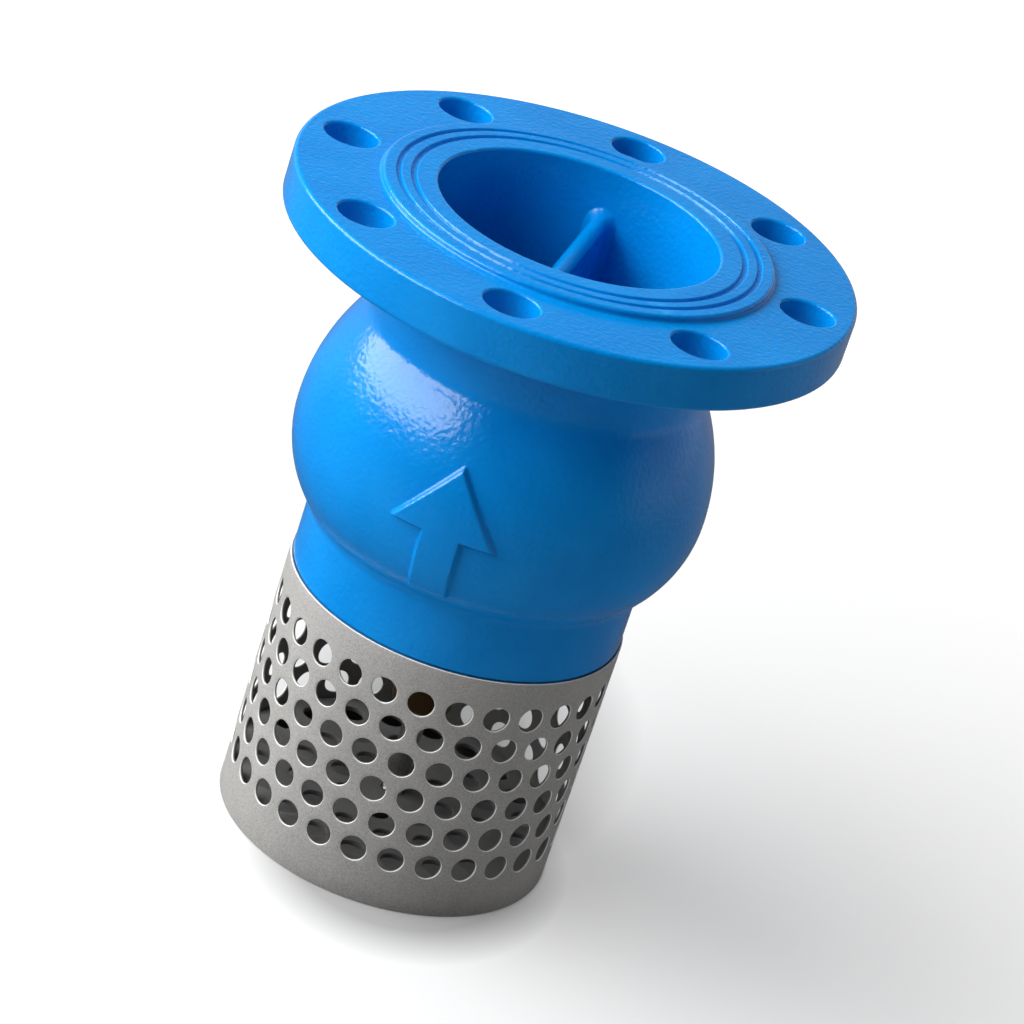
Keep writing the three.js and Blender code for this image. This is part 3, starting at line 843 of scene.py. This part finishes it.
def socket_screw():
    """A socket-head screw on the Z axis, head down, with its socket open below."""
    low, high = cad_box("seat_screw_2")
    head_top = low.z + SCREW_HEAD_HEIGHT
    screw = turned("seat_screw", [
        (0, low.z),
        (SCREW_HEAD_RADIUS, low.z, 0.6),
        (SCREW_HEAD_RADIUS, head_top, 0.3),
        (SCREW_RADIUS, head_top, 0.3),
        (SCREW_RADIUS, high.z, 0.5),
        (0, high.z),
    ], 48)
    boolean(screw, [hexagon("socket", 5, low.z - 1, low.z + 3)])
    sharpen(screw)
    return screw


def around_screws(number):
    """Where a seat screw stands, as (x, y)."""
    angle = FIRST_SCREW_TURN + FULL_TURN * number / SCREW_COUNT
    return SCREW_CIRCLE_RADIUS * math.cos(angle), SCREW_CIRCLE_RADIUS * math.sin(angle)


def seat_ring():
    """The seat ring: a flange below, the raised seat above, and a hub on three spokes."""
    ring = turned("seat_ring_turned", [
        (PORT_RADIUS, SEAT_FLANGE_Z, 0.8),
        (SEAT_HIGH.x, SEAT_FLANGE_Z, 0.6),
        (SEAT_HIGH.x, SEAT_FLANGE_TOP_Z, 0.4),
        (SEAT_BODY_RADIUS, SEAT_FLANGE_TOP_Z),
        (SEAT_BODY_RADIUS, SEAL_GROOVE_Z, 0.2),
        (SEAL_GROOVE_RADIUS, SEAL_GROOVE_Z, 0.4),
        (SEAL_GROOVE_RADIUS, SEAL_GROOVE_TOP_Z, 0.4),
        (SEAT_BODY_RADIUS, SEAL_GROOVE_TOP_Z, 0.2),
        (SEAT_BODY_RADIUS, 136, 0.5),
        (55.5, 140, 1),
        (54.5, SEAT_HIGH.z, 0.8),
        (51, SEAT_HIGH.z, 0.8),
        (PORT_RADIUS, SEAT_HIGH.z - 1, 0.4),
    ], 128)
    hub = turned("hub", [
        (0, SEAT_LOW.z), (HUB_RADIUS, SEAT_LOW.z, 1.5), (HUB_RADIUS, HUB_TOP_Z, 1.2), (0, HUB_TOP_Z)
    ], 64)
    spokes = []
    for k in range(SPOKE_COUNT):
        bar = bmesh.new()
        bmesh.ops.create_cube(bar, size=1)
        mesh = bpy.data.meshes.new("spoke")
        bar.to_mesh(mesh)
        bar.free()
        mesh.transform(Matrix.Diagonal((*(size * MM for size in SPOKE_SIZE), 1)))
        spoke = bpy.data.objects.new("spoke", mesh)
        bpy.context.scene.collection.objects.link(spoke)
        bevel = spoke.modifiers.new("bevel", "BEVEL")
        bevel.width = 1.5 * MM
        bevel.segments = 4
        apply_modifiers(spoke)
        moved(spoke, x=SPOKE_MIDDLE_RADIUS, z=SEAT_FLANGE_Z + 1)
        spokes.append(moved(spoke, turn=math.pi / 2 + FULL_TURN * k / SPOKE_COUNT))
    boolean(ring, [hub, *spokes], "UNION")
    guide = cylinder("guide", GUIDE_BORE, HUB_BORE_Z, HUB_TOP_Z + 1, 48)
    tapped = cylinder("tapped", ROD_HOLE, SEAT_LOW.z - 4, TAPPED_TOP_Z, 48)
    holes = []
    for number in range(SCREW_COUNT):
        hole = cylinder("hole", SCREW_HOLE_RADIUS, 100, 140, 24)
        holes.append(moved(hole, *around_screws(number)))
    boolean(ring, [guide, tapped, *holes])
    sharpen(ring)
    return ring


def disc_piece():
    return turned("disc_turned", [
        (STEM_HOLE, DISC_LOW.z, 0.3),
        (DISC_STEP_RADIUS, DISC_LOW.z, 0.4),
        (DISC_STEP_RADIUS, DISC_RIM_Z, 0.4),
        (DISC_HIGH.x, DISC_RIM_Z, 0.6),
        (DISC_HIGH.x, DISC_RIM_Z + 2, 1.2),
        (52, 154, 6),
        (22, DISC_CROWN_Z, 8),
        (DISC_HUB_RADIUS, DISC_CROWN_Z, 1.2),
        (DISC_HUB_RADIUS, DISC_HIGH.z, 1.0),
        (STEM_HOLE, DISC_HIGH.z, 0.4),
    ], 128)


def spring_piece():
    """The closing spring: closed end turns, open turns between them."""
    low, high = cad_box("closing_spring")
    wire, mean = 1.6, 16.0
    bottom, top = low.z + wire, high.z - wire
    closed, active = 1.0, 5.5
    turns = active + 2 * closed
    closed_rise = 2 * wire + 0.3
    active_rise = (top - bottom - 2 * closed * closed_rise) / active
    steps, sides = int(turns * 40), 12
    verts, faces = [], []
    for i in range(steps + 1):
        turn = turns * i / steps
        rise = (min(turn, closed) + max(0, turn - closed - active)) * closed_rise
        rise += min(max(turn - closed, 0), active) * active_rise
        a = turn * FULL_TURN
        for k in range(sides):
            b = FULL_TURN * k / sides
            r = mean + wire * math.cos(b)
            verts.append((r * math.cos(a), r * math.sin(a), bottom + rise + wire * math.sin(b)))
    for i in range(steps):
        for k in range(sides):
            n = (k + 1) % sides
            faces.append([i * sides + k, (i + 1) * sides + k, (i + 1) * sides + n, i * sides + n])
    faces.append(list(range(sides)))
    faces.append([steps * sides + k for k in reversed(range(sides))])
    spring = mesh_object("closing_spring_wire", verts, faces)
    sharpen(spring, 60)
    return spring, high.z + 0.1, low.z - 0.3


def seal_ring():
    low, high = cad_box("disc_seal")
    return turned("disc_seal_ring", [
        (SEAL_INSIDE, low.z, 0.4),
        (high.x, low.z, 1.2),
        (high.x, high.z, 0.8),
        (SEAL_INSIDE, high.z, 0.4),
    ], 128)


def oring():
    low, high = cad_box("seat_oring")
    section = (high.z - low.z) / 2
    middle = (low.z + high.z) / 2
    points = arc((high.x - section, middle), section, -math.pi, math.pi * 0.9, 19)
    return mesh_object("seat_oring_ring", *turned_mesh(points, [FULL_TURN * k / 128 for k in range(128)]))


def upper_bush():
    """The bush round the stem, under the rib, with its collar at the lower end."""
    low, high = cad_box("upper_guide_bush")
    collar = low.z + 2.7
    return turned("upper_guide_bush_turned", [
        (STEM_HOLE, low.z, 0.6),
        (high.x, low.z, 0.5),
        (high.x, collar, 0.2),
        (BUSH_RADIUS, collar),
        (BUSH_RADIUS, high.z, 0.4),
        (STEM_HOLE, high.z, 0.4),
    ], 64)


def lower_bush():
    """The bush round the stem's thinner lower end, in the hub, with its collar at the upper end."""
    low, high = cad_box("lower_guide_bush")
    collar = high.z - 2
    return turned("lower_guide_bush_turned", [
        (STEM_END_HOLE, low.z, 0.4),
        (BUSH_RADIUS, low.z, 0.4),
        (BUSH_RADIUS, collar),
        (high.x, collar, 0.2),
        (high.x, high.z, 0.5),
        (STEM_END_HOLE, high.z, 0.6),
    ], 64)


# Build and place every piece

coat = epoxy_coat()
strainer_steel = blasted_steel()
fastener_steel = steel("fastener_steel", (0.55, 0.55, 0.54), 0.32, grain_mm=0.6)
turned_steel = steel("turned_steel", (0.50, 0.50, 0.49), 0.30, grain_mm=1.2, stretch=(1, 1, 6))
ground_steel = steel("ground_steel", (0.62, 0.62, 0.62), 0.20, grain_mm=1.0, stretch=(1, 1, 8))
wire_steel = steel("spring_wire_steel", (0.48, 0.48, 0.47), 0.34, grain_mm=0.4)
bronze = steel("bronze", (0.34, 0.21, 0.09), 0.40, grain_mm=0.8)
black_rubber = rubber()

place(casting_shell(), BODY, coat, "coated_iron", "body_casting")
place(casting_rib(), BODY, coat, "coated_iron", "body_casting")
place(strainer_sleeve(), BODY, strainer_steel, "strainer_steel", "strainer_sleeve")

base_low, base_high = cad_box("strainer_base")
base_thickness = base_high.z - base_low.z
base = perforated_plate(
    "strainer_base_plate", base_high.x, base_low.z, base_thickness, BASE_HOLE_RINGS, ROD_HOLE
)
place(base, BODY, strainer_steel, "strainer_steel", "strainer_base")

place(seat_ring(), BODY, bronze, "bronze", "seat_ring")
place(oring(), BODY, black_rubber, "rubber", "seat_oring")
place(upper_bush(), BODY, bronze, "bronze", "upper_guide_bush")
place(lower_bush(), BODY, bronze, "bronze", "lower_guide_bush")

screw = socket_screw()
for number in range(SCREW_COUNT):
    node = f"seat_screw_{number + 1}"
    copy = screw.copy()
    copy.data = screw.data.copy()
    copy.name = f"{node}_turned"
    bpy.context.scene.collection.objects.link(copy)
    place(moved(copy, *around_screws(number)), BODY, fastener_steel, "fastener_steel", node)
bpy.data.objects.remove(screw)

rod_low, rod_high = cad_box("tie_rod")
threads = ((rod_low.z + 0.6, 22), (52, rod_high.z - 0.6))
rod = threaded_rod("tie_rod_threaded", ROD_RADIUS, rod_low.z, rod_high.z, ROD_PITCH, threads)
place(rod, BODY, fastener_steel, "fastener_steel", "tie_rod")
for node in ("tie_rod_nut", "tie_rod_lock_nut"):
    low, high = cad_box(node)
    nut = hex_nut(f"{node}_hex", 17, low.z, high.z - low.z, ROD_HOLE)
    place(nut, BODY, fastener_steel, "fastener_steel", node)
tie_washer = washer("tie_rod_washer_ring", "tie_rod_washer")
place(tie_washer, BODY, fastener_steel, "fastener_steel", "tie_rod_washer")

spring, spring_top, spring_bottom = spring_piece()
place(spring, BODY, wire_steel, "spring_steel", "closing_spring")
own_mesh(spring)

place(disc_piece(), LIFTING, turned_steel, "disc_steel", "disc")
place(seal_ring(), LIFTING, black_rubber, "rubber", "disc_seal")
retainer_low, retainer_high = cad_box("seal_retainer")
retainer = turned("seal_retainer_plate", [
    (STEM_HOLE, retainer_low.z, 0.3),
    (retainer_high.x, retainer_low.z, 1.0),
    (retainer_high.x, retainer_high.z, 0.4),
    (STEM_HOLE, retainer_high.z, 0.3),
], 128)
place(retainer, LIFTING, turned_steel, "disc_steel", "seal_retainer")

stem_low, stem_high = cad_box("stem")
stem = turned("stem_turned", [
    (0, stem_low.z),
    (STEM_END_RADIUS, stem_low.z, 0.9),
    (STEM_END_RADIUS, STEM_STEP_Z, 0.3),
    (STEM_RADIUS, STEM_STEP_Z, 0.5),
    (STEM_RADIUS, STEM_COLLAR_Z, 0.2),
    (STEM_COLLAR_RADIUS, STEM_COLLAR_Z, 0.4),
    (STEM_COLLAR_RADIUS, STEM_COLLAR_TOP_Z, 0.6),
    (STEM_RADIUS, STEM_COLLAR_TOP_Z, 0.5),
    (STEM_RADIUS, stem_high.z, 0.9),
    (0, stem_high.z),
], 64)
place(stem, LIFTING, ground_steel, "stem_steel", "stem")
stem_washer = washer("stem_washer_ring", "stem_washer")
place(stem_washer, LIFTING, fastener_steel, "fastener_steel", "stem_washer")
nut_low, nut_high = cad_box("stem_nut")
stem_nut = hex_nut("stem_nut_hex", 19, nut_low.z, nut_high.z - nut_low.z, STEM_HOLE)
place(stem_nut, LIFTING, fastener_steel, "fastener_steel", "stem_nut")


# Floor, light and camera

# Centres and radii of the two painted shadow ovals on the floor, at the foot and behind it, in metres
FOOT_SHADE = ((0.016, -0.018), (0.062, 0.080))
BACK_SHADE = ((-0.004, 0.105), (0.088, 0.145))
# Painted shade: where the floor's glow under the strainer's rim turns dim, from inside to outside
RIM_SHADE = (0.074, 0.078)
FLOOR_REACH = 6.0
FLOOR_TONE = 0.5
FLOOR_GLOW = 0.42
SURROUND = 0.10


def ray_share(nodes, camera, glossy, other):
    """One level for rays from the camera, another for mirror-like reflections, another for the rest."""
    seen = nodes.add("ShaderNodeLightPath").outputs
    level = nodes.blend(seen["Is Glossy Ray"], other, glossy)
    return nodes.blend(seen["Is Camera Ray"], level, camera)


def floor():
    """A pale floor that glows by itself, nearly white to the camera but dimmer near the valve, and glows
    faintly in reflections, more toward +Y. Painted shadows darken it: two soft ovals, at the foot and behind
    it, and a dim glow under the strainer's rim. It throws only a little light back up.
    """
    mesh = bpy.data.meshes.new("floor")
    reach = FLOOR_REACH
    corners = [(-reach, -reach, 0), (reach, -reach, 0), (reach, reach, 0), (-reach, reach, 0)]
    mesh.from_pydata(corners, [], [(0, 1, 2, 3)])
    obj = bpy.data.objects.new("floor", mesh)
    bpy.context.scene.collection.objects.link(obj)
    nodes = Nodes("pale_floor")
    mirrored = nodes.spread(nodes.part(nodes.place, "Y"), 0.015, 0.3, -0.2, 1.0)
    # Painted shadows: two soft ovals, at the foot and behind it, darken the floor's glow and tone
    foot_painted_shadow = nodes.spread(nodes.across(*FOOT_SHADE), 0.5, 1.0, 0.86, 1.22)
    back_painted_shadow = nodes.spread(nodes.across(*BACK_SHADE), 0.38, 1.0, 0.35, 1.1)
    shade = nodes.math("MULTIPLY", foot_painted_shadow, back_painted_shadow)
    away = nodes.across()
    seen = nodes.spread(away, FLOOR_GLOW, 1.0, 0.25, 1.4)
    glow = nodes.math("MULTIPLY", ray_share(nodes, seen, mirrored, 0.0), shade)
    # Painted shade: the floor under the strainer's rim barely glows
    glow = nodes.math("MULTIPLY", glow, nodes.spread(away, 0.15, 1.0, *RIM_SHADE))
    tone = nodes.math("MULTIPLY", ray_share(nodes, 1.0, 0.0, 1.0), shade)
    obj.data.materials.append(nodes.finish(
        Base_Color=nodes.mix(tone, (0.0, 0.0, 0.0), (FLOOR_TONE,) * 3),
        Roughness=1.0,
        Specular_IOR_Level=0.0,
        Emission_Color=(1, 1, 1),
        Emission_Strength=glow,
    ))


def panel(name, azimuth, elevation, distance, size, brightness, tilt=0):
    """An oval panel that faces the valve from a direction in degrees, as bright at any distance."""
    a, e = math.radians(azimuth), math.radians(elevation)
    away = Vector((math.cos(e) * math.cos(a), math.cos(e) * math.sin(a), math.sin(e)))
    light = bpy.data.lights.new(name, "AREA")
    light.shape = "ELLIPSE"
    light.size, light.size_y = size
    light.energy = brightness * math.pi * math.pi / 4 * size[0] * size[1]
    obj = bpy.data.objects.new(name, light)
    bpy.context.scene.collection.objects.link(obj)
    turn = (-away).to_track_quat("-Z", "Y").to_matrix() @ Matrix.Rotation(math.radians(tilt), 3, "Z")
    obj.matrix_world = Matrix.Translation(Vector((0, 0, 0.19)) + away * distance) @ turn.to_4x4()
    return obj


def camera():
    """The camera stands 26 degrees above the horizon and leans, so the valve tilts to the right."""
    lens = bpy.data.cameras.new("camera")
    lens.sensor_width = 36
    lens.lens = 158.2
    obj = bpy.data.objects.new("camera", lens)
    bpy.context.scene.collection.objects.link(obj)
    elevation, roll, azimuth = (math.radians(a) for a in (25.882, 18.351, 8))
    level = Vector((1, 0, 0))
    upright = Vector((0, math.sin(elevation), math.cos(elevation)))
    right = level * math.cos(roll) + upright * math.sin(roll)
    up = upright * math.cos(roll) - level * math.sin(roll)
    back = Vector((0, -math.cos(elevation), math.sin(elevation)))
    turn = Matrix.Rotation(azimuth, 4, "Z")
    axes = Matrix((right, up, back)).transposed().to_4x4()
    obj.matrix_world = Matrix.Translation((0.2588, -1.7560, 1.0286)) @ turn @ axes
    bpy.context.scene.camera = obj


def world_light():
    """A surround that is white to the camera and dim to the valve, brighter beyond it than in front."""
    world = bpy.data.worlds.new("world")
    world.use_nodes = True
    nodes = Nodes.of(world.node_tree)
    beyond = nodes.spread(nodes.part(nodes.direction, "Y"), 0.02, 0.65, -0.2, 0.9)
    low = nodes.spread(nodes.part(nodes.direction, "Z"), 1.0, 0.15, 0.03, 0.45)
    level = ray_share(nodes, 1.0, nodes.math("MULTIPLY", beyond, low), SURROUND)
    background = world.node_tree.nodes["Background"]
    nodes.set(background.inputs["Color"], (1, 1, 1))
    nodes.link(level, background.inputs["Strength"])
    bpy.context.scene.world = world


def lights():
    panel("key", -160, 29, 1.6, (2.8, 0.95), 6.7, 12)
    panel("overhead", -172, 60, 1.8, (1.6, 1.6), 3.9).visible_glossy = False
    panel("fill", 22, 4, 2.0, (2.0, 1.6), 1.6).visible_glossy = False
    world_light()
    bpy.context.scene.view_settings.view_transform = "Standard"


floor()
lights()
camera()
